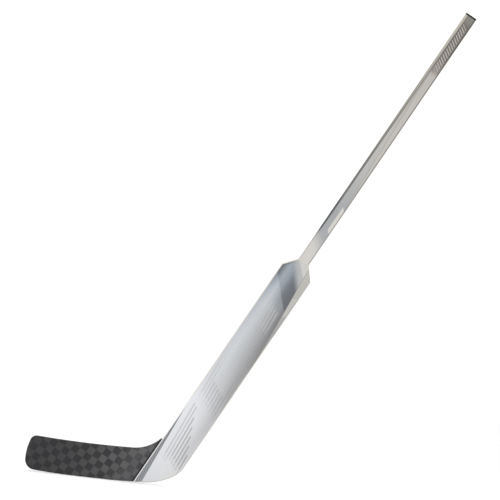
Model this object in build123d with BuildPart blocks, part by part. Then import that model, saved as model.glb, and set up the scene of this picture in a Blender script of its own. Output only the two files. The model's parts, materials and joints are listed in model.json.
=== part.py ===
from build123d import *
from math import asin, cos, degrees, radians, sin, sqrt
import os

# A goaltender's ice hockey stick in its playing pose, in millimetres.
# +Z is up from the ice, the toe points to -X, the shaft rises towards +X,
# and the front face looks to -Y. The origin is at the middle of the sole's flat.
# The whole stick is drawn on the XZ plane, in two ways: in X and Z, and by
# station (distance up the shaft's centre line) and side (towards the toe).

# ---- driving dimensions ------------------------------------------------------

lie_angle = 62.0
foot_x = 171.5  # where the shaft's centre line meets the ice

shaft_width = 31.5
shaft_thickness = 20.0
shaft_wall = 2.5
shaft_corner = 2.5
bevel_at_neck = 3.0
bevel_at_butt = 7.0
bevel_slope = 0.8  # depth of the bevel beside its width

paddle_width = 88.9  # the widest that the rules of play allow
shoulder_station = 665.0
neck_station = 700.0
butt_station = 1473.8
shoulder_radius = 7.0
heel_thickness = 13.0
skin = 1.2
rail_width = 5.0
rail_round = 3.0

facet_top = (693.0, -21.5)  # station and side where the facet's crease starts
facet_foot = (388.0, -paddle_width / 2)
facet_tilt = 12.0

sole_flat_toe = -25.0
sole_flat_heel = 30.0
sole_radius = 2000.0
heel_start_x = 155.0
heel_low_radius = 150.0
heel_low_turn = 26.4
heel_radius = 74.0

top_low = (20.0, 88.8)  # the lowest point of the blade's top edge
top_radius = 2900.0
throat_radius = 102.0
toe_x = -164.9
toe_wide_z = 34.0
toe_top_x = -151.0
toe_low_radius = 27.0
toe_top_radius = 18.0

blade_thickness_heel = 9.5
blade_thickness_toe = 6.5
blade_skin = 1.0
blade_bend_x = 115.0  # the blade is flat from here to the heel
blade_bend_radius = 1300.0
blade_end_station = 113.0  # where the blade's laminate ends in the throat
strip_split_x = -128.0
blade_round = 1.8

step_slope = 0.54  # rise of the chamfer between the blade's face and the heel's
step_runout = 12.0  # how far up the rail that chamfer fades out

spigot_foot = 640.0
spigot_head = 760.0
spigot_gap = 0.1
web_thickness = 1.5
web_inner_side = shaft_width / 2 - shaft_wall
block_top = 190.0
bridge_z = 46.0
bridge_height = 7.0
tongue_length = 58.0
tongue_height = 30.0
tongue_thickness = 6.0

cap_thickness = 4.5
cap_round = 1.2
plug_length = 28.0
plug_gap = 0.8
plug_rib_gap = 0.1
plug_rib_width = 2.0
plug_rib_stations = (1450.0, 1457.0, 1464.0)

reach = 60.0  # more than half the stick's depth at any point

# ---- places on the stick -----------------------------------------------------

lie = radians(lie_angle)
up_shaft = Vector(cos(lie), sin(lie))
to_toe = Vector(-sin(lie), cos(lie))
half_paddle = paddle_width / 2
half_shaft = shaft_width / 2
cap_station = butt_station - cap_thickness


def on_face(station, side):
    """The point of the XZ plane at a station up the shaft and a side."""
    return Vector(foot_x, 0) + up_shaft * station + to_toe * side


def zone(low_station, high_station, low_side, high_side):
    """The corners of a rectangle square to the shaft."""
    return [
        on_face(low_station, low_side),
        on_face(high_station, low_side),
        on_face(high_station, high_side),
        on_face(low_station, high_side),
    ]


def top_edge_z(x):
    """The height of the blade's top edge, a shallow hollow arc."""
    return top_low[1] + top_radius - sqrt(top_radius**2 - (x - top_low[0]) ** 2)


def half_depth(station):
    """Half the paddle's thickness, which grows from heel to shoulder."""
    share = min(station / shoulder_station, 1.0)
    return (heel_thickness + (shaft_thickness - heel_thickness) * share) / 2


# Stations run along this plane's x and the front is its y.
side_plane = Plane(
    origin=(foot_x, 0, 0),
    x_dir=(up_shaft.X, 0, up_shaft.Y),
    z_dir=(-to_toe.X, 0, -to_toe.Y),
)


def cross_plane(station):
    """The plane across the shaft: x towards the toe side, y to the front."""
    point = on_face(station, 0)
    return Plane(
        origin=(point.X, 0, point.Y),
        x_dir=(to_toe.X, 0, to_toe.Y),
        z_dir=(up_shaft.X, 0, up_shaft.Y),
    )


# ---- outlines on the XZ plane ------------------------------------------------

toe_corner = (toe_x, (toe_x - sole_flat_toe) ** 2 / (2 * sole_radius))
toe_top = (toe_top_x, top_edge_z(toe_top_x))
sole_turn = degrees(asin((heel_start_x - sole_flat_heel) / sole_radius))
outline_end = neck_station + 40

with BuildSketch(Plane.XZ) as stick_outline:
    with BuildLine():
        heel_side = Line(
            on_face(-40, -half_paddle),
            on_face(shoulder_station, -half_paddle),
            mode=Mode.PRIVATE,
        )
        top_arc = ThreePointArc(
            toe_top, top_low, (200, top_edge_z(200)), mode=Mode.PRIVATE
        )
        Line((sole_flat_toe, 0), (sole_flat_heel, 0))
        sole_heel = JernArc((sole_flat_heel, 0), (1, 0), sole_radius, sole_turn)
        heel_low = JernArc(
            sole_heel @ 1, sole_heel % 1, heel_low_radius, heel_low_turn
        )
        ramp = IntersectingLine(heel_low @ 1, heel_low % 1, heel_side)
        Polyline(
            ramp @ 1,
            on_face(shoulder_station, -half_paddle),
            on_face(neck_station, -half_shaft),
            on_face(outline_end, -half_shaft),
            on_face(outline_end, half_shaft),
            on_face(neck_station, half_shaft),
            on_face(shoulder_station, half_paddle),
        )
        toe_side = IntersectingLine(
            on_face(shoulder_station, half_paddle), -up_shaft, top_arc
        )
        throat = toe_side @ 1
        ThreePointArc(throat, top_low, toe_top)
        TangentArc((toe_x, toe_wide_z), toe_top, tangent=(0, 1))
        Line((toe_x, toe_wide_z), toe_corner)
        TangentArc((sole_flat_toe, 0), toe_corner, tangent=(-1, 0))
    make_face()

    def corner_at(point):
        return stick_outline.vertices().sort_by_distance(
            Vector(point[0], point[1])
        )[0]

    throat_point = (throat.X, throat.Y)
    heel_point = ((ramp @ 1).X, (ramp @ 1).Y)
    fillet(corner_at(throat_point), throat_radius)
    fillet(corner_at(heel_point), heel_radius)
    fillet(corner_at(toe_corner), toe_low_radius)
    fillet(corner_at(toe_top), toe_top_radius)
    for shoulder_side in (-half_paddle, half_paddle):
        shoulder = on_face(shoulder_station, shoulder_side)
        fillet(corner_at((shoulder.X, shoulder.Y)), shoulder_radius)


with BuildSketch(Plane.XZ) as inner_outline:
    add(stick_outline.sketch_local)
    offset(amount=-rail_width)

# The blade is everything on the toe side of the paddle's own edge line. The
# last thin sliver of it up in the throat belongs to the paddle's rail.
blade_zone = zone(-500, blade_end_station, half_paddle, 500)
paddle_zone = zone(-100, neck_station, -half_paddle - 1, half_paddle + 1)

with BuildSketch(Plane.XZ) as blade_outline:
    add(stick_outline.sketch_local)
    with BuildLine():
        Polyline(*blade_zone, close=True)
    make_face(mode=Mode.INTERSECT)

with BuildSketch(Plane.XZ) as paddle_outline:
    add(stick_outline.sketch_local)
    add(blade_outline.sketch_local, mode=Mode.SUBTRACT)
    with BuildLine():
        Polyline(*paddle_zone, close=True)
    make_face(mode=Mode.INTERSECT)

with BuildSketch(Plane.XZ) as blade_panel:
    add(blade_outline.sketch_local)
    add(inner_outline.sketch_local, mode=Mode.INTERSECT)

with BuildSketch(Plane.XZ) as rail_rim:
    add(paddle_outline.sketch_local)
    add(inner_outline.sketch_local, mode=Mode.SUBTRACT)

with BuildSketch(Plane.XZ) as rail_toe_outline:
    add(rail_rim.sketch_local)
    with BuildLine():
        Polyline(*zone(blade_end_station, neck_station + 1, 0, 60), close=True)
    make_face(mode=Mode.INTERSECT)

with BuildSketch(Plane.XZ) as rail_heel_outline:
    add(rail_rim.sketch_local)
    add(rail_toe_outline.sketch_local, mode=Mode.SUBTRACT)
    with BuildLine():
        Polyline(*zone(60, blade_end_station + 1, 0, 60), close=True)
    make_face(mode=Mode.SUBTRACT)

with BuildSketch(Plane.XZ) as paddle_panel:
    add(paddle_outline.sketch_local)
    add(rail_toe_outline.sketch_local, mode=Mode.SUBTRACT)
    add(rail_heel_outline.sketch_local, mode=Mode.SUBTRACT)

with BuildSketch(Plane.XZ) as blade_rim:
    add(blade_outline.sketch_local)
    add(inner_outline.sketch_local, mode=Mode.SUBTRACT)

# ---- envelopes: the space between the front and back faces --------------------


def wedge_points(inset):
    """The paddle's side profile, with each face moved in by inset."""
    low = -60.0
    profile = []
    for station in (low, shoulder_station, outline_end):
        profile.append((station, half_depth(station) - inset))
    profile += [(station, -front) for station, front in reversed(profile)]
    return profile


def crease_point(station, side):
    """A point of the front face, at a station and a side."""
    point = on_face(station, side)
    return Vector(point.X, -half_depth(station), point.Y)


crease_start = crease_point(*facet_top)
crease_line = crease_point(*facet_foot) - crease_start
facet_normal = Vector(0, -1, 0).rotate(Axis((0, 0, 0), crease_line), -facet_tilt)
facet_plane = Plane(origin=crease_start, z_dir=facet_normal)

with BuildPart() as wedge:
    with BuildSketch(side_plane):
        with BuildLine():
            Polyline(*wedge_points(0), close=True)
        make_face()
    extrude(amount=300, both=True)

# The chamfer that runs down from the heel's face to the blade's thinner one.
blade_front = blade_thickness_heel / 2
step_reach = 10.0
runout_end = blade_end_station + step_runout

with BuildPart() as step_cut:
    with BuildSketch(cross_plane(-60)):
        with BuildLine():
            Polyline(
                (half_paddle, blade_front),
                (half_paddle - step_reach, blade_front + step_reach * step_slope),
                (half_paddle + step_reach, blade_front + step_reach * step_slope),
                (half_paddle + step_reach, blade_front),
                close=True,
            )
        make_face()
    extrude(amount=60 + runout_end)
    with BuildSketch(side_plane):
        with BuildLine():
            Polyline(
                (-60, blade_front),
                (blade_end_station, blade_front),
                (runout_end, half_depth(runout_end)),
                (runout_end, reach),
                (-60, reach),
                close=True,
            )
        make_face()
    extrude(amount=100, both=True, mode=Mode.INTERSECT)

with BuildPart() as paddle_envelope:
    add(wedge.part)
    split(bisect_by=facet_plane, keep=Keep.BOTTOM)
    add(step_cut.part, mode=Mode.SUBTRACT)
    add(mirror(step_cut.part, about=Plane.XZ, mode=Mode.PRIVATE), mode=Mode.SUBTRACT)

with BuildPart() as paddle_inside:
    with BuildSketch(side_plane):
        with BuildLine():
            Polyline(*wedge_points(skin), close=True)
        make_face()
    extrude(amount=300, both=True)
    split(bisect_by=facet_plane.offset(-skin), keep=Keep.BOTTOM)
    add(paddle_envelope.part, mode=Mode.INTERSECT)


def blade_space(inset):
    """The curved space between the blade's faces, each moved in by inset."""
    half_heel = blade_thickness_heel / 2 - inset
    half_toe = blade_thickness_toe / 2 - inset
    toe_end = -175.0
    run = blade_bend_x - toe_end
    bend = blade_bend_radius - sqrt(blade_bend_radius**2 - run**2)
    with BuildPart() as space:
        with BuildSketch(Plane.XY.offset(-20)):
            with BuildLine():
                front = TangentArc(
                    (blade_bend_x, -half_heel), (toe_end, bend - half_toe), tangent=(-1, 0)
                )
                back = TangentArc(
                    (blade_bend_x, half_heel), (toe_end, bend + half_toe), tangent=(-1, 0)
                )
                Line(front @ 1, back @ 1)
                Polyline(front @ 0, (260, -half_heel), (260, half_heel), back @ 0)
            make_face()
        extrude(amount=220)
    return space.part


blade_envelope = blade_space(0)
blade_inside = blade_space(blade_skin)

# ---- shaft -------------------------------------------------------------------


def section_points(station, inset):
    """The shaft's bevelled section, with every side moved in by inset."""
    share = (station - neck_station) / (cap_station - neck_station)
    bevel = bevel_at_neck + (bevel_at_butt - bevel_at_neck) * share
    depth = bevel * bevel_slope
    slant = sqrt(bevel**2 + depth**2)
    half_wide = half_shaft - inset
    half_thick = shaft_thickness / 2 - inset
    return [
        (half_wide, shaft_thickness / 2 - depth - inset * (slant - depth) / bevel),
        (half_shaft - bevel - inset * (slant - bevel) / depth, half_thick),
        (-half_wide, half_thick),
        (-half_wide, -half_thick),
        (half_wide, -half_thick),
    ]



def section(station, inset, corner):
    """The shaft's section as a face; the bevel's own two corners stay crisp."""
    points = section_points(station, inset)
    with BuildSketch(cross_plane(station)) as profile:
        with BuildLine():
            Polyline(*points, close=True)
        make_face()
        for point in points[2:]:
            fillet(profile.vertices().sort_by_distance(Vector(*point))[0], corner)
    return profile.sketch


with BuildPart() as shaft_tube:
    outer_ends = [section(s, 0, shaft_corner) for s in (neck_station, cap_station)]
    bore_ends = [section(s, shaft_wall, 1.0) for s in (neck_station, cap_station)]
    loft(outer_ends, ruled=True)
    loft(bore_ends, ruled=True, mode=Mode.SUBTRACT)

with BuildPart() as butt_cap:
    extrude(section(cap_station, 0, shaft_corner), amount=cap_thickness)
    end_face = butt_cap.faces().sort_by(Axis.Z)[-1]
    fillet(end_face.edges(), cap_round)
    extrude(section(cap_station, shaft_wall + plug_gap, 1.0), amount=-plug_length)
    for station in plug_rib_stations:
        extrude(section(station, shaft_wall + plug_rib_gap, 1.0), amount=plug_rib_width)

# The spigot is sized to the tightest bore that it meets.
with BuildPart() as neck_spigot:
    spigot_section = section(spigot_head, shaft_wall + spigot_gap, 1.0)
    extrude(spigot_section, amount=spigot_foot - spigot_head)

# ---- paddle ------------------------------------------------------------------

outline_wire = stick_outline.sketch.face().outer_wire()


def rim_edges(piece):
    """The piece's long edges that lie over the stick's outline."""
    rim = ShapeList()
    for edge in piece.edges():
        middle = edge @ 0.5
        shadow = Vertex(middle.X, 0, middle.Z)
        runs_along = abs((edge % 0.5).Y) < 0.7
        if runs_along and outline_wire.distance_to(shadow) < 0.01:
            rim.append(edge)
    return rim


def region(base, corners, mode=Mode.INTERSECT):
    """The part of an outline inside a polygon, or outside it."""
    with BuildSketch(Plane.XZ) as cut:
        add(base.sketch_local)
        with BuildLine():
            Polyline(*corners, close=True)
        make_face(mode=mode)
    return cut.sketch


with BuildPart() as paddle_rail_toe_side:
    extrude(rail_toe_outline.sketch, amount=reach, both=True)
    add(wedge.part, mode=Mode.INTERSECT)
    fillet(rim_edges(paddle_rail_toe_side), rail_round)
    add(paddle_envelope.part, mode=Mode.INTERSECT)
    add(neck_spigot.part, mode=Mode.SUBTRACT)

with BuildPart() as paddle_rail_heel_side:
    extrude(rail_heel_outline.sketch, amount=reach, both=True)
    add(wedge.part, mode=Mode.INTERSECT)
    fillet(rim_edges(paddle_rail_heel_side), rail_round)
    add(paddle_envelope.part, mode=Mode.INTERSECT)
    add(neck_spigot.part, mode=Mode.SUBTRACT)

with BuildPart() as paddle_skins:
    extrude(paddle_panel.sketch, amount=reach, both=True)
    add(paddle_envelope.part, mode=Mode.INTERSECT)
    add(paddle_inside.part, mode=Mode.SUBTRACT)

with BuildPart() as paddle_front_skin:
    add(paddle_skins.solids().sort_by(Axis.Y)[0])

with BuildPart() as paddle_back_skin:
    add(paddle_skins.solids().sort_by(Axis.Y)[-1])

web_outer_side = web_inner_side + web_thickness
above_block = neck_station + 1
toe_web = zone(block_top, above_block, web_inner_side, web_outer_side)
heel_web = zone(block_top, above_block, -web_outer_side, -web_inner_side)
toe_core = zone(block_top, above_block, web_outer_side, paddle_width)
heel_core = zone(block_top, above_block, -paddle_width, -web_outer_side)
middle_core = zone(block_top, spigot_foot, -web_inner_side, web_inner_side)

with BuildPart() as paddle_web_toe_side:
    extrude(region(paddle_panel, toe_web), amount=reach, both=True)
    add(paddle_inside.part, mode=Mode.INTERSECT)

with BuildPart() as paddle_web_heel_side:
    extrude(region(paddle_panel, heel_web), amount=reach, both=True)
    add(paddle_inside.part, mode=Mode.INTERSECT)

with BuildPart() as paddle_core_toe_side:
    extrude(region(paddle_panel, toe_core), amount=reach, both=True)
    add(paddle_inside.part, mode=Mode.INTERSECT)

with BuildPart() as paddle_core_middle:
    extrude(region(paddle_panel, middle_core), amount=reach, both=True)
    add(paddle_inside.part, mode=Mode.INTERSECT)

with BuildPart() as paddle_core_heel_side:
    extrude(region(paddle_panel, heel_core), amount=reach, both=True)
    add(paddle_inside.part, mode=Mode.INTERSECT)

# ---- blade -------------------------------------------------------------------

rib_low = bridge_z - bridge_height / 2
rib_high = bridge_z + bridge_height / 2


def box_corners(low_x, high_x, low_z, high_z):
    """The corners of a rectangle square to the ice."""
    return [(low_x, low_z), (high_x, low_z), (high_x, high_z), (low_x, high_z)]


rib_zone = box_corners(-300, 300, rib_low, rib_high)
tongue_low = bridge_z - tongue_height / 2
tongue_high = bridge_z + tongue_height / 2
tongue_end = on_face(0, half_paddle).X + tongue_length
tongue_zone = box_corners(0, tongue_end, tongue_low, tongue_high)

with BuildPart() as blade_bridge:
    extrude(region(blade_panel, rib_zone), amount=reach, both=True)
    add(blade_inside, mode=Mode.INTERSECT)
    extrude(region(paddle_panel, tongue_zone), amount=tongue_thickness / 2, both=True)

with BuildPart() as heel_block:
    block_zone = zone(-100, block_top, -paddle_width, paddle_width)
    extrude(region(paddle_panel, block_zone), amount=reach, both=True)
    add(paddle_inside.part, mode=Mode.INTERSECT)
    add(blade_bridge.part, mode=Mode.SUBTRACT)

with BuildPart() as blade_core_upper:
    extrude(region(blade_panel, box_corners(-300, 300, rib_high, 300)), amount=reach, both=True)
    add(blade_inside, mode=Mode.INTERSECT)

with BuildPart() as blade_core_lower:
    extrude(region(blade_panel, box_corners(-300, 300, -50, rib_low)), amount=reach, both=True)
    add(blade_inside, mode=Mode.INTERSECT)

with BuildPart() as blade_skins:
    extrude(blade_panel.sketch, amount=reach, both=True)
    add(blade_envelope, mode=Mode.INTERSECT)
    add(blade_inside, mode=Mode.SUBTRACT)

with BuildPart() as blade_front_skin:
    add(blade_skins.solids().sort_by(Axis.Y)[0])

with BuildPart() as blade_back_skin:
    add(blade_skins.solids().sort_by(Axis.Y)[-1])

top_zone = box_corners(strip_split_x, 300, bridge_z, 300)
toe_zone = box_corners(-300, strip_split_x, -50, 300)
sole_zone = box_corners(strip_split_x, 300, -50, bridge_z)

with BuildPart() as blade_top_edge:
    extrude(region(blade_rim, top_zone), amount=reach, both=True)
    add(blade_envelope, mode=Mode.INTERSECT)
    fillet(rim_edges(blade_top_edge), blade_round)

with BuildPart() as blade_toe_edge:
    extrude(region(blade_rim, toe_zone), amount=reach, both=True)
    add(blade_envelope, mode=Mode.INTERSECT)
    fillet(rim_edges(blade_toe_edge), blade_round)

with BuildPart() as blade_sole_edge:
    extrude(region(blade_rim, sole_zone), amount=reach, both=True)
    add(blade_envelope, mode=Mode.INTERSECT)
    fillet(rim_edges(blade_sole_edge), blade_round)

# ---- pieces out --------------------------------------------------------------

pieces = {
    "butt_cap": butt_cap,
    "shaft_tube": shaft_tube,
    "neck_spigot": neck_spigot,
    "paddle_front_skin": paddle_front_skin,
    "paddle_back_skin": paddle_back_skin,
    "paddle_rail_toe_side": paddle_rail_toe_side,
    "paddle_rail_heel_side": paddle_rail_heel_side,
    "paddle_web_toe_side": paddle_web_toe_side,
    "paddle_web_heel_side": paddle_web_heel_side,
    "paddle_core_toe_side": paddle_core_toe_side,
    "paddle_core_middle": paddle_core_middle,
    "paddle_core_heel_side": paddle_core_heel_side,
    "heel_block": heel_block,
    "blade_front_skin": blade_front_skin,
    "blade_back_skin": blade_back_skin,
    "blade_bridge": blade_bridge,
    "blade_core_upper": blade_core_upper,
    "blade_core_lower": blade_core_lower,
    "blade_top_edge": blade_top_edge,
    "blade_toe_edge": blade_toe_edge,
    "blade_sole_edge": blade_sole_edge,
}

os.makedirs("parts", exist_ok=True)
for name, piece in pieces.items():
    piece.part.label = name
    export_step(piece.part, f"parts/{name}.step")
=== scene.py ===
import json
from math import cos, radians, sin

import bpy
from mathutils import Matrix, Vector


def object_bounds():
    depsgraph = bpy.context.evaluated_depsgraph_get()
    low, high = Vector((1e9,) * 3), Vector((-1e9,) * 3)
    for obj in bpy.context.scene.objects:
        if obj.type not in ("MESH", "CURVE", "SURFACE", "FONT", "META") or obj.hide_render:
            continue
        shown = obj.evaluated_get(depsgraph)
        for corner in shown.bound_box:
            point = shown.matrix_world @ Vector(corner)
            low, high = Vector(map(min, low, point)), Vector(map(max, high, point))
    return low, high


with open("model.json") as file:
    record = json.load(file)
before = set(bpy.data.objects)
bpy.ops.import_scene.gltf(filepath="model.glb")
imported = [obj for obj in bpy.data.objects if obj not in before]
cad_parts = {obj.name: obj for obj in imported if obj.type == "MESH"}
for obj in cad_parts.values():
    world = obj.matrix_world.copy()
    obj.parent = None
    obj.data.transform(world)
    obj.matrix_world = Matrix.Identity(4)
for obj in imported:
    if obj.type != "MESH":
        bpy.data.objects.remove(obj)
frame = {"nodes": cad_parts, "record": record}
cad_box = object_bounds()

# The looks of a goaltender's ice hockey stick. Every colour, line and weave is worked out
# from the stick's own axes: the station, in mm up the shaft from the ice, and the side, in
# mm from the shaft's centre line towards the toe. So the paint runs on over the joints.
# Places are stations or sides in mm, and a pair of them is the low and high end of a zone.

MM = 0.001

# ---- the stick's own axes ----------------------------------------------------

mounts = {mount["name"]: mount for mount in frame["record"]["mounts"]}
butt_point = Vector(mounts["butt_end"]["pos_m"])
up_shaft = Vector(mounts["butt_end"]["axis"])
foot_point = butt_point - up_shaft * (butt_point.z / up_shaft.z)
to_toe = Vector((-up_shaft.z, 0, up_shaft.x))
to_back = Vector((0, 1, 0))


def extent(node, direction):
    """The lowest and highest place of a node along a direction, in mm from the foot."""
    vertices = frame["nodes"][node].data.vertices
    places = [(vertex.co - foot_point).dot(direction) / MM for vertex in vertices]
    return min(places), max(places)


neck, cap_start = extent("shaft_tube", up_shaft)
half_shaft = extent("shaft_tube", to_toe)[1]
half_paddle = -extent("paddle_rail_heel_side", to_toe)[0]

# Sizes of the part that the extents of its pieces don't give
bevel_at_neck = 3.0
bevel_at_butt = 7.0
shoulder_station = 665.0
facet_top_station = 693.0
facet_top_side = -21.5
facet_foot_station = 388.0

# ---- colour ------------------------------------------------------------------

STUDIO_LIGHT = 1.20  # light on a face turned to the front, where the background has 1
SHEEN = 0.035  # what the clear coat adds by reflecting the studio
LOW_SHEEN = 0.02  # the same, for the blade and the cap


def linear(level):
    """A screen level from 0 to 255 as the light it stands for."""
    level = level / 255
    return level / 12.92 if level <= 0.04045 else ((level + 0.055) / 1.055) ** 2.4


def shown(red, green, blue, sheen=SHEEN):
    """The paint that looks like this screen colour in the studio's light."""
    light = [max((linear(c) - sheen) / STUDIO_LIGHT, 0.001) for c in (red, green, blue)]
    return (*light, 1.0)


# ---- fields: numbers that vary over a surface ----------------------------------

LINE_BLUR = 0.5  # how softly painted edges turn over


class Field:
    """A number that varies over a surface, with ordinary arithmetic."""

    def __init__(self, tree, socket):
        self.tree = tree
        self.socket = socket

    def made(self, operation, *values, clamp=False):
        node = self.tree.nodes.new("ShaderNodeMath")
        node.operation = operation
        node.use_clamp = clamp
        for value, entry in zip(values, node.inputs):
            if isinstance(value, Field):
                self.tree.links.new(value.socket, entry)
            else:
                entry.default_value = value
        return Field(self.tree, node.outputs[0])

    def __add__(self, other):
        return self.made("ADD", self, other)

    def __sub__(self, other):
        return self.made("SUBTRACT", self, other)

    def __rsub__(self, other):
        return self.made("SUBTRACT", other, self)

    def __mul__(self, other):
        return self.made("MULTIPLY", self, other)

    def __truediv__(self, other):
        return self.made("DIVIDE", self, other)

    __radd__ = __add__
    __rmul__ = __mul__

    def floor(self):
        return self.made("FLOOR", self)

    def fraction(self):
        return self.made("FRACT", self)

    def size(self):
        return self.made("ABSOLUTE", self)

    def clamped(self):
        return self.made("ADD", self, 0.0, clamp=True)

    def rise(self, start, end):
        """0 below the start and 1 above the end, in a straight line between them."""
        return ((self - start) / (end - start)).clamped()

    def above(self, edge, blur=LINE_BLUR):
        """0 below the edge and 1 above it, turning over within blur."""
        if isinstance(edge, Field):
            return (self - edge).above(0, blur)
        return self.made("MULTIPLY_ADD", self, 1 / blur, 0.5 - edge / blur, clamp=True)

    def below(self, edge, blur=LINE_BLUR):
        """1 below the edge and 0 above it."""
        if isinstance(edge, Field):
            return (self - edge).below(0, blur)
        return self.made("MULTIPLY_ADD", self, -1 / blur, 0.5 + edge / blur, clamp=True)

    def within(self, low, high, blur=LINE_BLUR):
        """1 between low and high."""
        return self.above(low, blur) * self.below(high, blur)

    def stripes(self, pitch, width, blur=LINE_BLUR):
        """1 on stripes of this width, whose middles are a pitch apart."""
        from_middle = ((self / pitch).fraction() - 0.5).size() * pitch
        return from_middle.below(width / 2, blur)


def larger(first, second):
    return first.made("MAXIMUM", first, second)


# ---- surfaces ----------------------------------------------------------------


class Surface:
    """A material whose colour, roughness and relief are built from fields."""

    def __init__(self, name, specular=0.3, coat=0.0, coat_roughness=0.2):
        self.material = bpy.data.materials.new(name)
        self.material.use_nodes = True
        self.tree = self.material.node_tree
        self.shader = self.tree.nodes["Principled BSDF"]
        self.shader.inputs["Specular IOR Level"].default_value = specular
        self.shader.inputs["Coat Weight"].default_value = coat
        self.shader.inputs["Coat Roughness"].default_value = coat_roughness
        self.colour = None
        place = self.tree.nodes.new("ShaderNodeTexCoord")
        self.station = self.dot(place.outputs["Object"], up_shaft / MM, foot_point)
        self.side = self.dot(place.outputs["Object"], to_toe / MM, foot_point)
        self.depth = self.dot(place.outputs["Object"], to_back / MM, foot_point)
        self.side_facing = self.dot(place.outputs["Normal"], to_toe)
        self.end_facing = self.dot(place.outputs["Normal"], up_shaft)
        self.back_facing = self.dot(place.outputs["Normal"], to_back)

    def dot(self, socket, direction, origin=None):
        node = self.tree.nodes.new("ShaderNodeVectorMath")
        node.operation = "DOT_PRODUCT"
        node.inputs[1].default_value = direction
        self.tree.links.new(socket, node.inputs[0])
        along = Field(self.tree, node.outputs["Value"])
        return along if origin is None else along - origin.dot(direction)

    def hatch(self, up, across, pitch, width, blur):
        """1 on parallel lines, which follow each other in the direction (up, across)."""
        return (self.station * up + self.side * across).stripes(pitch, width, blur)

    def slanted(self, slant):
        """The station, where level lines step up by slant for each mm of side."""
        return self.station - self.side * slant

    def front(self, least, blur):
        """1 where the surface faces forward by at least this cosine."""
        return self.back_facing.below(-least, blur)

    def faces(self, least, blur):
        """1 on the front and back faces."""
        return self.back_facing.size().above(least, blur)

    def edges(self, most, blur):
        """1 where the surface turns away from front and back."""
        return self.back_facing.size().below(most, blur)

    def vector(self, *fields):
        node = self.tree.nodes.new("ShaderNodeCombineXYZ")
        for field, entry in zip(fields, node.inputs):
            if isinstance(field, Field):
                self.tree.links.new(field.socket, entry)
            else:
                entry.default_value = field
        return node.outputs[0]

    def noise(self, long, wide, detail=2.0, start=0.0):
        """Smooth noise, 0 to 1, with grains this long up the shaft and this wide."""
        node = self.tree.nodes.new("ShaderNodeTexNoise")
        place = self.vector(self.station / long + start, self.side / wide, self.depth / wide)
        self.tree.links.new(place, node.inputs["Vector"])
        node.inputs["Scale"].default_value = 1.0
        node.inputs["Detail"].default_value = detail
        return Field(self.tree, node.outputs["Fac"])

    def chance(self, *fields):
        """A steady random number, 0 to 1, for each set of whole numbers."""
        node = self.tree.nodes.new("ShaderNodeTexWhiteNoise")
        self.tree.links.new(self.vector(*fields), node.inputs["Vector"])
        return Field(self.tree, node.outputs["Value"])

    def gradient(self, field, rows, sheen=SHEEN):
        """The paint along a field, from (place, red, green, blue) rows in rising order."""
        low = rows[0][0]
        high = rows[-1][0]
        node = self.tree.nodes.new("ShaderNodeValToRGB")
        share = (field - low) / (high - low)
        self.tree.links.new(share.socket, node.inputs[0])
        ramp = node.color_ramp.elements
        while len(ramp) < len(rows):
            ramp.new(1.0)
        for element, (place, *screen_colour) in zip(ramp, rows):
            element.position = (place - low) / (high - low)
            element.color = shown(*screen_colour, sheen)
        return node.outputs["Color"]

    def feed(self, value, entry):
        if isinstance(value, bpy.types.NodeSocket):
            self.tree.links.new(value, entry)
        else:
            entry.default_value = value[: len(entry.default_value)]

    def mix(self, share, below, above):
        """The colour below where share is 0, and the colour above where it is 1."""
        node = self.tree.nodes.new("ShaderNodeMix")
        node.data_type = "RGBA"
        self.tree.links.new(share.socket, node.inputs[0])
        self.feed(below, node.inputs[6])
        self.feed(above, node.inputs[7])
        return node.outputs[2]

    def lay(self, colour, mask):
        """Covers the colour so far with this one, where the mask is 1."""
        self.colour = self.mix(mask, self.colour, colour)

    def shade(self, factor):
        """Multiplies the colour so far by a field."""
        node = self.tree.nodes.new("ShaderNodeVectorMath")
        node.operation = "SCALE"
        self.feed(self.colour, node.inputs[0])
        self.tree.links.new(factor.socket, node.inputs["Scale"])
        self.colour = node.outputs[0]

    def finish(self, roughness, relief):
        """Joins the colour, roughness and relief (a height in mm) to the shader."""
        self.feed(self.colour, self.shader.inputs["Base Color"])
        self.tree.links.new(roughness.socket, self.shader.inputs["Roughness"])
        bump = self.tree.nodes.new("ShaderNodeBump")
        bump.inputs["Distance"].default_value = MM
        self.tree.links.new(relief.socket, bump.inputs["Height"])
        self.tree.links.new(bump.outputs["Normal"], self.shader.inputs["Normal"])
        return self.material


def dress(material, *nodes):
    """Gives CAD nodes this material."""
    for name in nodes:
        slots = frame["nodes"][name].data.materials
        slots.clear()
        slots.append(material)


# ---- satin paint, for paddle and shaft -------------------------------------------

NECK_BEAD = shown(214, 206, 194)  # the bead of filler where shaft and paddle meet
BEAD_ON_PADDLE = 1.2
BEAD_ON_SHAFT = 1.4

# Hatches: the direction across their lines, up the shaft and to the side, then the lines'
# pitch, width and blur
BAND_HATCH = (0.896, 0.443, 5.2, 2.6, 1.6)
PAST_BAND_HATCH = (-0.423, 0.906, 3.6, 1.8, 1.0)
WEDGE_HATCH = (0.8, -0.6, 4.7, 2.2, 1.0)
SHAFT_HATCH = (0.35, 0.94, 2.6, 1.2, 0.8)


def satin_surface(name):
    return Surface(name, specular=0.35, coat=0.25, coat_roughness=0.18)


def satin_finish(surface, cloud_size, fibre_length, start, lines, rougher=0.0):
    """Clouded lacquer over fibres and fine grain, with printed lines that stand proud."""
    cloud = surface.noise(*cloud_size, 3.0)
    surface.shade(0.985 + cloud * 0.03)
    fibre = surface.noise(fibre_length, 0.5, 2.0, start)
    grain = surface.noise(0.45, 0.45, 1.0, start + 5.0)
    roughness = 0.3 + cloud * 0.1 + rougher + grain * 0.06
    relief = fibre * 0.006 + grain * 0.004 + lines * 0.02
    return surface.finish(roughness, relief)


# ---- painted paddle ------------------------------------------------------------

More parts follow.
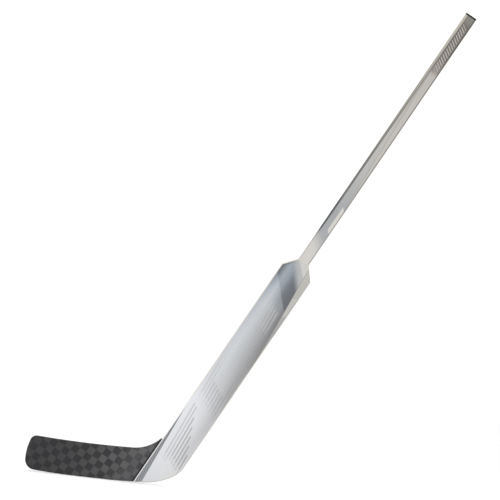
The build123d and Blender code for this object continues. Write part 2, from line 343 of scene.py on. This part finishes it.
# Tones are rows of a place and a screen colour. The place is a station unless it is said
# to be something else.
# The tables below fall from the pale toe side to the grey heel side. That fall is a painted
# reflection of the studio on the gloss.
HEEL_SIDE_TONES = (
    (0, 224, 223, 222),
    (50, 220, 220, 220),
    (110, 203, 204, 206),
    (250, 187, 187, 189),
    (300, 176, 176, 177),
    (400, 158, 158, 159),
    (500, 143, 143, 145),
    (600, 122, 125, 129),
)
MIDDLE_TONES = (
    (0, 222, 224, 226),
    (200, 220, 221, 224),
    (250, 211, 213, 216),
    (350, 196, 198, 200),
    (450, 182, 184, 187),
    (550, 168, 170, 173),
    (600, 136, 141, 147),
)
TOE_SIDE_TONES = (
    (0, 222, 224, 227),
    (230, 226, 228, 232),
    (300, 216, 218, 221),
    (450, 208, 211, 215),
    (550, 202, 206, 212),
    (620, 179, 186, 193),
)
TOE_RIM_TONES = (
    (0, 222, 224, 227),
    (250, 228, 230, 234),
    (350, 212, 214, 218),
    (450, 204, 207, 212),
    (550, 186, 191, 197),
    (600, 168, 174, 182),
    (640, 134, 139, 147),
)

# The tones that take over towards the toe side, and the sides between which they do
TONES_TO_TOE_SIDE = (
    (MIDDLE_TONES, -31.0, -4.0),
    (TOE_SIDE_TONES, -4.0, 22.0),
    (TOE_RIM_TONES, 24.0, 39.0),
)

STRIPE_LEAN = 0.0664  # the paddle's stripes lean this much towards the toe side
STRIPE_PITCH = 8.65
STRIPE_WIDTH = 3.8
STRIPE_OFFSET = 1.6  # how far the stripe numbered 0 starts from the centre line
BLOCK_SLANT = 0.53  # how far the ends of a block's stripes step up, for each mm of side
BLOCK_END_BLUR = 2.0
TIP_LENGTH = 13.0
TIP_STRENGTH = 0.45

# Blocks of stripes: where the low and high ends lie, how much lower the high end is for each
# stripe towards the heel side, over what length it fades, first and last stripe, and darkness.
STRIPE_BLOCKS = (
    (78.0, 223.0, 0.0, 2.0, 0, 1, 0.25),
    (91.0, 200.0, 17.0, 2.0, -5, -1, 0.37),
    (260.0, 304.5, 0.0, 2.0, -5, -1, 0.22),
    (256.0, 350.0, 0.0, 90.0, 0, 1, 0.15),
    (256.0, 350.0, 0.0, 90.0, -7, -6, 0.18),
)

FAINT_PITCH = 5.85
FAINT_WIDTH = 2.9
FAINT_OFFSET = 0.2
FAINT_STATIONS = (285.0, 548.0)

PALE_WIDTH = 3.6
PALE_OFFSET = 1.7
PALE_SLANT = 0.52
PALE_STATIONS = (500.0, 561.0)
PALE_HINT_STATIONS = (440.0, 561.0)
PALE_SIDES = (-22.0, 32.0)

BAND_START = 596.0  # the shoulder's hatched band, on the centre line
BAND_END = 647.0
BAND_START_SLANT = 1.06
BAND_END_SLANT = 1.1
BAND_FADE = 20.0
NECK_PANEL_START = 686.0

# Tones by the side
BAND_TONES = (
    (-30, 106, 109, 113),
    (-14, 112, 116, 120),
    (-4, 119, 124, 130),
    (4, 134, 140, 147),
    (10, 150, 157, 165),
    (24, 163, 171, 178),
    (32, 142, 150, 158),
    (38, 116, 120, 127),
)

# Tones by the station of the band's slanted end, on the centre line
PAST_BAND_TONES = (
    (647, 146, 151, 156),
    (658, 166, 169, 172),
    (674, 183, 185, 186),
    (690, 193, 194, 194),
)

SLOPE_LINE = (4.2, 7.4)  # how far in from the shoulder's slope its dark line lies
SLOPE_LINE_STATIONS = (662.0, 686.0)
SLOPE_RIM = 3.8
SLOPE_LOW_SIDE = 14.0

FACET_TONES = (
    (388, 160, 160, 160),
    (500, 166, 165, 164),
    (560, 180, 178, 175),
    (620, 189, 187, 183),
    (700, 198, 194, 188),
)
FACET_PANEL_SLANT = -0.6
FACET_PANEL = (530.0, 586.0)
FACET_PANEL_LOW_SIDE = -41.0
CREASE_GAP = 2.0  # between the panel and the crease
# Where the painted shade on the crease and just above it lies, in mm of side from the crease,
# and its stations
CREASE_LINE = (-0.6, 0.6)
CREASE_SHADE = (0.5, 6.5)
CREASE_SHADE_STATIONS = (385.0, 565.0)

WEDGE_SIDE = 27.5  # where the hatched wedge's slanting side starts, at the foot
WEDGE_END = 226.0
WEDGE_TONES = (
    (-20, 166, 169, 173),
    (100, 158, 160, 163),
    (160, 136, 138, 140),
    (225, 146, 148, 150),
)
PINSTRIPE_WIDTH = 2.3
PINSTRIPE_END = 240.0
PINSTRIPE_FADE = 60.0
BESIDE_BLADE = 30.0  # the side from which the rim gives way to the pinstripe


def paddle_gradient(surface):
    """The face's tones: pale at the toe side and heel, grey towards the heel side above. The
    paler toe side is a painted reflection of the studio.
    """
    surface.colour = surface.gradient(surface.station, HEEL_SIDE_TONES)
    for tones, start, end in TONES_TO_TOE_SIDE:
        surface.lay(surface.gradient(surface.station, tones), surface.side.rise(start, end))


def fine_lines(surface):
    """Faint lines up the middle of the paddle, and pale ones where it is darkest."""
    across = surface.side - surface.station * STRIPE_LEAN
    zone = surface.station.within(*FAINT_STATIONS, 50.0)
    faint = (across + FAINT_OFFSET).stripes(FAINT_PITCH, FAINT_WIDTH, 1.0)
    uneven = surface.noise(110.0, 4.0, 1.0, start=17.0)
    surface.shade(1.03 - faint * zone * (0.07 + uneven * 0.1))
    ends = surface.slanted(PALE_SLANT)
    length = ends.within(*PALE_STATIONS, 2.0) + ends.within(*PALE_HINT_STATIONS, 90.0) * 0.35
    zone = length.clamped() * surface.side.within(*PALE_SIDES, 4.0)
    pale = (across - PALE_OFFSET).stripes(STRIPE_PITCH, PALE_WIDTH, 0.8) * zone
    surface.lay(shown(197, 196, 194), pale * 0.6)


def stripe_blocks(surface):
    """How dark the speed stripes are: slanted blocks, with a paler tip below each stripe."""
    across = surface.side - surface.station * STRIPE_LEAN + STRIPE_OFFSET
    stripes = across.stripes(STRIPE_PITCH, STRIPE_WIDTH)
    number = (across / STRIPE_PITCH).floor()
    ends = surface.slanted(BLOCK_SLANT)
    darkness = None
    for low, high, taper, fade, first, last, dark in STRIPE_BLOCKS:
        lane = number.within(first - 0.5, last + 0.5)
        high_end = high - (last - number) * taper
        body = ends.above(low, BLOCK_END_BLUR) * ends.below(high_end, fade)
        tip = ends.within(low - TIP_LENGTH, low, BLOCK_END_BLUR)
        block = (body + tip * TIP_STRENGTH) * lane * dark
        darkness = block if darkness is None else larger(darkness, block)
    return stripes * darkness


def shoulder_bands(surface):
    """The dark hatched band across the shoulder, and the paler zones up to the neck."""
    low_edge = surface.slanted(BAND_START_SLANT)
    high_edge = surface.slanted(BAND_END_SLANT)
    band = low_edge.above(BAND_START, 3.0)
    hatch = surface.hatch(*BAND_HATCH)
    surface.lay(surface.gradient(surface.side, BAND_TONES), band)
    surface.shade(1.0 + band * (0.1 - hatch * 0.2))
    past_band = high_edge.rise(BAND_END, BAND_END + BAND_FADE)
    fine_hatch = surface.hatch(*PAST_BAND_HATCH)
    surface.lay(surface.gradient(high_edge, PAST_BAND_TONES), past_band)
    surface.shade(1.0 - past_band * fine_hatch * 0.07)
    neck_panel = surface.slanted(1.0).above(NECK_PANEL_START, 2.0)
    surface.lay(shown(207, 206, 203), neck_panel)
    return band * high_edge.below(BAND_END + 3.0, 12.0) * hatch


def shoulder_slope(surface):
    """The beige rim, a painted highlight on the slope's rounded edge, and the dark line along
    the slope from the toe-side corner to the neck.
    """
    station = surface.station
    side = surface.side
    fall = (half_paddle - half_shaft) / (neck - shoulder_station)
    inward = half_paddle - side - (station - shoulder_station) * fall
    line = inward.within(*SLOPE_LINE, 1.6) * station.within(*SLOPE_LINE_STATIONS, 14.0)
    surface.lay(shown(84, 87, 94), line * side.above(SLOPE_LOW_SIDE, 8.0) * 0.6)
    # Painted highlight along the slope's rounded edge.
    rim = inward.below(SLOPE_RIM, 1.6) * station.above(shoulder_station - 1.0, 6.0)
    surface.lay(shown(206, 198, 186), rim * side.above(SLOPE_LOW_SIDE) * 0.8)


def facet_zone(surface):
    """The warm grey facet at the heel side, with its crease, painted shade on and just above
    the crease, and a paler panel.
    """
    station = surface.station
    side = surface.side
    slope = (facet_top_side + half_paddle) / (facet_top_station - facet_foot_station)
    crease = (station - facet_foot_station) * slope - half_paddle
    front = surface.front(0.5, 0.2)
    facet = side.below(crease) * front * station.above(facet_foot_station)
    surface.lay(surface.gradient(station, FACET_TONES), facet)
    # Painted shade: a darker band just above the crease, where the fold would be in shadow.
    shade = (side - crease).within(*CREASE_SHADE, 3.0)
    shade *= station.within(*CREASE_SHADE_STATIONS, 40.0)
    surface.shade(1.0 - shade * front * 0.11)
    fine = (side - station * slope).stripes(3.0, 1.0, 0.8)
    surface.shade(1.0 - fine * facet * 0.05)
    panel = surface.slanted(FACET_PANEL_SLANT).within(*FACET_PANEL, 1.0) * facet
    panel *= side.within(FACET_PANEL_LOW_SIDE, crease - CREASE_GAP)
    surface.lay(shown(197, 195, 191), panel * 0.8)
    # Painted shade: a dark line along the crease itself.
    line = (side - crease).within(*CREASE_LINE, 0.6) * front
    surface.lay(shown(140, 138, 136), line * station.above(facet_foot_station, 40.0) * 0.8)


def blade_joint(surface):
    """The grey hatched wedge and the white pinstripe where the blade meets the heel."""
    station = surface.station
    side = surface.side
    low_side = station * STRIPE_LEAN + WEDGE_SIDE
    wedge = side.within(low_side, half_paddle + 1) * station.below(WEDGE_END, 4.0)
    hatch = surface.hatch(*WEDGE_HATCH)
    tones = surface.gradient(station, WEDGE_TONES)
    surface.lay(surface.mix(hatch * 0.8, tones, shown(110, 112, 116)), wedge)
    pinstripe = side.above(half_paddle - PINSTRIPE_WIDTH)
    pinstripe *= station.below(PINSTRIPE_END, PINSTRIPE_FADE)
    surface.lay(shown(242, 242, 241), pinstripe)


def paddle_rim(surface):
    """The beige rim round the paddle, a painted highlight on its rounded edges, left out
    beside the blade, and the neck's bead.
    """
    by_blade = surface.station.below(PINSTRIPE_END, PINSTRIPE_FADE)
    by_blade *= surface.side.above(BESIDE_BLADE)
    # Painted highlight: the rounded edges are painted beige, as if catching the light.
    surface.lay(shown(216, 209, 199), surface.edges(0.955, 0.05) * (1.0 - by_blade))
    surface.lay(NECK_BEAD, surface.station.above(neck - BEAD_ON_PADDLE))


def paddle_paint(name):
    """Satin paint over laminate, with the stick's graphics and paler rims, which are a painted
    highlight on the rounded edges.
    """
    surface = satin_surface(name)
    paddle_gradient(surface)
    fine_lines(surface)
    stripes = stripe_blocks(surface)
    surface.shade(1.0 - stripes)
    hatch = shoulder_bands(surface)
    shoulder_slope(surface)
    facet_zone(surface)
    blade_joint(surface)
    paddle_rim(surface)
    return satin_finish(surface, (90.0, 30.0), 14.0, 3.0, stripes + hatch, stripes * 0.08)


# ---- painted shaft -------------------------------------------------------------

SHAFT_TONES = (
    (700, 210, 207, 203),
    (760, 175, 178, 181),
    (850, 170, 172, 174),
    (950, 185, 185, 185),
    (1070, 192, 190, 187),
    (1170, 189, 185, 181),
    (1240, 183, 179, 174),
    (1290, 174, 169, 163),
    (1450, 140, 137, 133),
    (1470, 138, 135, 131),
)
SIDE_TONES = (
    (700, 208, 204, 198),
    (760, 190, 185, 178),
    (860, 168, 162, 154),
    (1200, 178, 172, 163),
    (1300, 164, 158, 150),
    (1470, 142, 138, 132),
)
# The painted shade along the shaft's heel-side edge, by station
HEEL_LINE_TONES = (
    (700, 158, 153, 148),
    (950, 136, 128, 120),
    (1250, 104, 97, 90),
    (1340, 72, 68, 64),
)
# The bevel's painted reflection of the studio, by station
BEVEL_TONES = (
    (700, 196, 192, 187),
    (770, 182, 179, 174),
    (800, 74, 79, 86),
    (880, 80, 84, 88),
    (905, 114, 114, 111),
    (1000, 121, 119, 115),
    (1200, 155, 152, 145),
    (1350, 179, 174, 165),
    (1470, 190, 183, 171),
)

SHAFT_HATCH_STATIONS = (765.0, 950.0)
NECK_ZONE_END = 764.0
NECK_ZONE_SLANT = 0.8
NECK_BAR = (796.0, 867.0)
NECK_BAR_SLANT = 0.95
NECK_BAR_LOW_SIDE = -12.4
NECK_BAR_HIGH_SIDE = -4.0

DIAGONAL_STATIONS = (870.0, 1294.0)  # the long line that crosses the upper shaft
DIAGONAL_START_SIDE = -11.0
DIAGONAL_SLOPE = 0.0425
DIAGONAL_LINE = (-0.6, 0.6)
DIAGONAL_STRIP_GAP = 0.8

GRIP_STATIONS = (1296.0, 1449.0)
GRIP_SIDES = (-12.5, 8.5)
GRIP_TONES = (
    (1290, 150, 145, 140),
    (1340, 124, 119, 114),
    (1400, 116, 112, 108),
    (1450, 122, 118, 114),
)
DASH_STATIONS = (1303.0, 1441.0)
DASH_SIDES = (-9.5, 5.5)
DASH_SLANT = 0.7
DASH_PITCH = 8.6
DASH_WIDTH = 3.4

HEEL_LINE = (1.4, 3.4)  # how far in from the shaft's heel side
BEVEL_LINE = (-1.7, 0.2)  # how far past the bevel's inner edge
BEVEL_LINE_START = 800.0


def neck_marks(surface):
    """The pale neck, and the plain pale bar above it."""
    neck_zone = surface.slanted(NECK_ZONE_SLANT).below(NECK_ZONE_END, 40.0)
    surface.lay(shown(211, 208, 204), neck_zone)
    ends = surface.station - (surface.side - NECK_BAR_LOW_SIDE) * NECK_BAR_SLANT
    bar = ends.within(*NECK_BAR, 1.0) * surface.side.below(NECK_BAR_HIGH_SIDE)
    surface.lay(shown(214, 211, 206), bar)


def long_diagonal(surface):
    """The line that crosses the upper shaft, with a paler strip on its heel side."""
    start = DIAGONAL_STATIONS[0]
    diagonal = (surface.station - start) * DIAGONAL_SLOPE + DIAGONAL_START_SIDE
    length = surface.station.within(*DIAGONAL_STATIONS, 12.0)
    strip = surface.side.below(diagonal - DIAGONAL_STRIP_GAP) * length
    surface.lay(shown(200, 196, 190), strip * 0.55)
    line = (surface.side - diagonal).within(*DIAGONAL_LINE, 0.6) * length
    surface.lay(shown(150, 147, 143), line * 0.7)


def grip_marks(surface):
    """A dark field near the butt with a row of plain slanted dashes."""
    face = surface.faces(0.9, 0.1) * surface.side.within(*GRIP_SIDES)
    zone = surface.station.within(*GRIP_STATIONS, 14.0)
    surface.lay(surface.gradient(surface.station, GRIP_TONES), zone * face)
    ends = surface.slanted(DASH_SLANT)
    dashes = ends.stripes(DASH_PITCH, DASH_WIDTH) * ends.within(*DASH_STATIONS)
    surface.lay(shown(188, 182, 174), dashes * surface.side.within(*DASH_SIDES) * face)


def shaft_sides(surface):
    """The side faces' tones, and the dark line along the heel side, which is painted shade on
    the shaft's rounded heel-side edge.
    """
    side_tones = surface.gradient(surface.station, SIDE_TONES)
    surface.lay(side_tones, surface.side_facing.size().above(0.55, 0.3))
    # Painted shade: a dark line along the rounded heel-side edge.
    line = (surface.side + half_shaft).within(*HEEL_LINE, 0.5) * surface.faces(0.3, 0.1)
    surface.lay(surface.gradient(surface.station, HEEL_LINE_TONES), line * 0.85)


def shaft_bevel(surface):
    """The long bevel's tones, a painted reflection of the studio that runs from pale to dark
    navy and back to beige, and the dark line beside it.
    """
    share = (surface.station - neck) / (cap_start - neck)
    inner_edge = half_shaft - bevel_at_neck - share * (bevel_at_butt - bevel_at_neck)
    front = surface.front(0.3, 0.1)
    bevel = surface.side.above(inner_edge, 0.3) * front
    # Painted reflection: the bevel's tones change up the shaft as a reflection would.
    surface.lay(surface.gradient(surface.station, BEVEL_TONES), bevel)
    line = (surface.side - inner_edge).within(*BEVEL_LINE, 0.5) * front
    line *= surface.station.above(BEVEL_LINE_START, 40.0)
    surface.lay(shown(110, 107, 103), line * 0.85)


def shaft_paint():
    """Satin paint on the hollow shaft: pale at the neck, and darker to the butt."""
    surface = satin_surface("shaft_paint")
    surface.colour = surface.gradient(surface.station, SHAFT_TONES)
    hatch = surface.hatch(*SHAFT_HATCH) * surface.station.within(*SHAFT_HATCH_STATIONS, 30.0)
    surface.shade(1.0 - hatch * 0.08)
    neck_marks(surface)
    long_diagonal(surface)
    grip_marks(surface)
    shaft_sides(surface)
    shaft_bevel(surface)
    surface.lay(NECK_BEAD, surface.station.below(neck + BEAD_ON_SHAFT))
    return satin_finish(surface, (120.0, 20.0), 20.0, 2.0, hatch)


# ---- woven blade ---------------------------------------------------------------

TOW_WIDTH = 18.75  # the spread tows that run towards the toe
TOW_OFFSET = 0.4  # in tows
CROSS_TOW_WIDTH = 18.5  # the spread tows that run up the shaft's direction
CROSS_TOW_OFFSET = 0.76
STEP_SHADE_WIDTH = 4.5  # the painted shade on the blade beside the step down from the heel

# Tones by the side. The squares grow paler towards the heel side, a painted reflection of the
# studio.
DARK_SQUARE_TONES = (
    (60, 72, 72, 74),
    (125, 62, 62, 64),
    (190, 57, 57, 59),
    (290, 53, 53, 55),
)
LIGHT_SQUARE_TONES = (
    (60, 94, 94, 95),
    (130, 90, 90, 90),
    (190, 76, 76, 76),
    (250, 71, 71, 72),
    (290, 66, 66, 67),
)


def blade_weave():
    """Clear-coated spread-tow laminate: wide flat tows that cross in a checkerboard."""
    surface = Surface("blade_weave", specular=0.2, coat=0.15, coat_roughness=0.12)
    column = surface.station / TOW_WIDTH + TOW_OFFSET
    row = surface.side / CROSS_TOW_WIDTH + CROSS_TOW_OFFSET
    parity = ((column.floor() + row.floor()) / 2).fraction() * 2.0
    tone = surface.chance(column.floor(), row.floor(), 0.0)
    along_streaks = surface.noise(40.0, 0.7, 2.0)
    cross_streaks = surface.noise(0.7, 40.0, 2.0, start=5.0)
    streaks = cross_streaks + parity * (along_streaks - cross_streaks)
    # Painted reflection: the squares are paler near the heel and darker towards the toe.
    dark = surface.gradient(surface.side, DARK_SQUARE_TONES, LOW_SHEEN)
    light = surface.gradient(surface.side, LIGHT_SQUARE_TONES, LOW_SHEEN)
    surface.colour = surface.mix(parity, dark, light)
    surface.shade(0.75 + tone * 0.2 + streaks * 0.3)
    # Painted highlight: soft paler patches on the weave near the heel.
    highlight_patches = surface.noise(50.0, 50.0, 1.0, start=11.0).above(0.5, 0.4)
    near_heel = surface.side.below(90.0, 60.0)
    surface.lay(shown(108, 108, 110, LOW_SHEEN), highlight_patches * near_heel * 0.4)
    # Painted shade: a dark band on the blade where it steps down from the thicker heel.
    step_shade = surface.side.below(half_paddle + STEP_SHADE_WIDTH, 2.5)
    surface.lay(shown(34, 35, 36, LOW_SHEEN), step_shade * 0.9)
    # Painted highlight: paler edges round the blade, where the rounded rims would catch the
    # light.
    surface.lay(shown(112, 110, 107), surface.edges(0.8, 0.3) * (0.4 + streaks * 0.4))
    from_column = (column.fraction() - 0.5).size()
    from_row = (row.fraction() - 0.5).size()
    crown = 1.0 - larger(from_column, from_row).above(0.46, 0.06)
    grain = surface.noise(0.5, 0.5, 1.0, start=9.0)
    roughness = 0.26 + streaks * 0.14 + grain * 0.05
    relief = crown * 0.03 + streaks * 0.02 + grain * 0.003
    return surface.finish(roughness, relief)


# ---- cap, spigot and the pieces inside ------------------------------------------

FILLER_PAINTED_EDGE = 4.0


def moulded_cap():
    """Black moulded plastic with a spark-eroded grain and paler rubbed edges."""
    surface = Surface("moulded_cap")
    surface.colour = shown(34, 34, 36, LOW_SHEEN)
    grain = surface.noise(0.6, 0.6, 2.0)
    wear = surface.noise(6.0, 4.0, 3.0, start=4.0)
    corner = surface.end_facing.within(0.35, 0.9, 0.2)
    surface.lay(shown(80, 79, 78, LOW_SHEEN), corner * wear)
    surface.shade(0.8 + grain * 0.4)
    return surface.finish(0.5 + grain * 0.25, grain * 0.05)


def laminate(name, dark, light, tow_width):
    """Pultruded or pressed fibre: long streaks, with a faint cross tow."""
    surface = Surface(name)
    fibre = surface.noise(60.0, 0.5, 3.0)
    surface.colour = surface.mix(fibre.above(0.5, 0.5), shown(*dark), shown(*light))
    cross_tow = (surface.station / tow_width).fraction().within(0.05, 0.95, 0.1)
    surface.shade(0.85 + cross_tow * 0.15)
    pits = surface.noise(1.2, 1.2, 1.0, start=6.0).above(0.72, 0.1)
    surface.shade(1.0 - pits * 0.25)
    return surface.finish(0.38 + fibre * 0.25, fibre * 0.04 - pits * 0.05)


def cut_foam():
    """Rigid closed-cell foam, pale cream, with the open cells of a cut face."""
    surface = Surface("cut_foam", specular=0.15)
    coarse = surface.noise(1.6, 1.6, 2.0)
    fine = surface.noise(0.5, 0.5, 2.0, start=4.0)
    surface.colour = surface.mix(coarse, shown(205, 190, 142), shown(240, 228, 188))
    cells = fine.below(0.42, 0.1)
    surface.lay(shown(172, 156, 112), cells * 0.6)
    return surface.finish(0.82 + fine * 0.15, coarse * 0.15 - cells * 0.12)


def cast_filler():
    """Cast resin with glass beads and pores, painted white where it shows at the blade."""
    surface = Surface("cast_filler")
    cloud = surface.noise(18.0, 18.0, 3.0)
    specks = surface.noise(1.1, 1.1, 1.0, start=3.0)
    surface.colour = surface.mix(cloud, shown(165, 160, 148), shown(190, 185, 172))
    beads = specks.above(0.68, 0.06)
    surface.lay(shown(222, 218, 208), beads * 0.7)
    pores = specks.below(0.27, 0.05)
    surface.lay(shown(110, 106, 98), pores)
    painted = surface.side.above(half_paddle - FILLER_PAINTED_EDGE)
    surface.lay(shown(238, 237, 234), painted)
    bare = 1.0 - painted
    return surface.finish(0.55 + cloud * 0.15, (beads * 0.03 - pores * 0.15) * bare)


dress(paddle_paint("paddle_paint"), "paddle_front_skin", "paddle_back_skin")
dress(paddle_paint("rail_paint"), "paddle_rail_toe_side", "paddle_rail_heel_side")
dress(shaft_paint(), "shaft_tube")
dress(
    blade_weave(),
    "blade_front_skin",
    "blade_back_skin",
    "blade_top_edge",
    "blade_toe_edge",
    "blade_sole_edge",
)
dress(moulded_cap(), "butt_cap")
dress(laminate("spigot_laminate", (58, 58, 60), (96, 96, 98), 12.0), "neck_spigot")
dress(
    laminate("web_laminate", (44, 45, 47), (78, 79, 82), 6.0),
    "paddle_web_toe_side",
    "paddle_web_heel_side",
)
dress(laminate("bridge_laminate", (48, 48, 50), (84, 84, 86), 9.0), "blade_bridge")
dress(
    cut_foam(),
    "paddle_core_toe_side",
    "paddle_core_middle",
    "paddle_core_heel_side",
    "blade_core_upper",
    "blade_core_lower",
)
dress(cast_filler(), "heel_block")

# ---- studio, in metres -----------------------------------------------------------

FLOOR_HALF = 12.0
ROOM_LIGHT = 1.08
SOFTBOX_WIDTH = 2.0
SOFTBOX_WATTS = 22.0

CAMERA_ROLL = radians(6.3)
LENS = 500.0  # a long lens, in mm, so the view is nearly parallel
PICTURE_WIDTH = 1.3  # across the picture, at the stick
AIM_RIGHT = 0.0017  # where the picture's middle is, from the middle of the stick's box
AIM_DOWN = 0.0205

low_corner, high_corner = cad_box
middle = (low_corner + high_corner) / 2


def studio_floor():
    """A large pale floor, level with the sole's lowest point."""
    height = low_corner.z
    corners = [
        (middle.x + x * FLOOR_HALF, middle.y + y * FLOOR_HALF, height)
        for x, y in ((-1, -1), (1, -1), (1, 1), (-1, 1))
    ]
    mesh = bpy.data.meshes.new("studio_floor")
    mesh.from_pydata(corners, [], [(0, 1, 2, 3)])
    floor = bpy.data.objects.new("studio_floor", mesh)
    bpy.context.scene.collection.objects.link(floor)
    surface = Surface("studio_paper", specular=0.1)
    surface.colour = (0.93, 0.93, 0.93, 1.0)
    fleck = surface.noise(300.0, 300.0, 2.0)
    surface.shade(0.99 + fleck * 0.02)
    mesh.materials.append(surface.finish(0.8 + fleck * 0.1, fleck * 0.01))


def softbox(name, offset):
    """A square area light at an offset from the stick's middle, turned to it."""
    light = bpy.data.lights.new(name, "AREA")
    light.size = SOFTBOX_WIDTH
    light.energy = SOFTBOX_WATTS
    box = bpy.data.objects.new(name, light)
    box.location = middle + Vector(offset)
    box.rotation_mode = "QUATERNION"
    box.rotation_quaternion = (-Vector(offset)).to_track_quat("-Z", "Y")
    bpy.context.scene.collection.objects.link(box)


def studio_lights():
    """An even white room, with one large softbox each side for gentle form."""
    world = bpy.data.worlds.new("studio_world")
    world.use_nodes = True
    world.node_tree.nodes["Background"].inputs["Color"].default_value = (1, 1, 1, 1)
    world.node_tree.nodes["Background"].inputs["Strength"].default_value = ROOM_LIGHT
    bpy.context.scene.world = world
    softbox("front_softbox", (-1.6, -2.4, 1.6))
    softbox("back_softbox", (1.6, 2.6, 1.8))


def studio_camera():
    """A long lens square to the front face, rolled so the stick leans as it is shown."""
    aim = Vector((middle.x + AIM_RIGHT, 0, middle.z - AIM_DOWN))
    right = Vector((cos(CAMERA_ROLL), 0, sin(CAMERA_ROLL)))
    up = Vector((-sin(CAMERA_ROLL), 0, cos(CAMERA_ROLL)))
    back = right.cross(up)
    data = bpy.data.cameras.new("studio_camera")
    data.lens = LENS
    camera = bpy.data.objects.new("studio_camera", data)
    spin = Matrix((right, up, back)).transposed().to_4x4()
    distance = PICTURE_WIDTH * LENS / data.sensor_width
    camera.matrix_world = Matrix.Translation(aim + back * distance) @ spin
    bpy.context.scene.collection.objects.link(camera)
    bpy.context.scene.camera = camera
    bpy.context.scene.view_settings.view_transform = "Standard"


studio_floor()
studio_lights()
studio_camera()
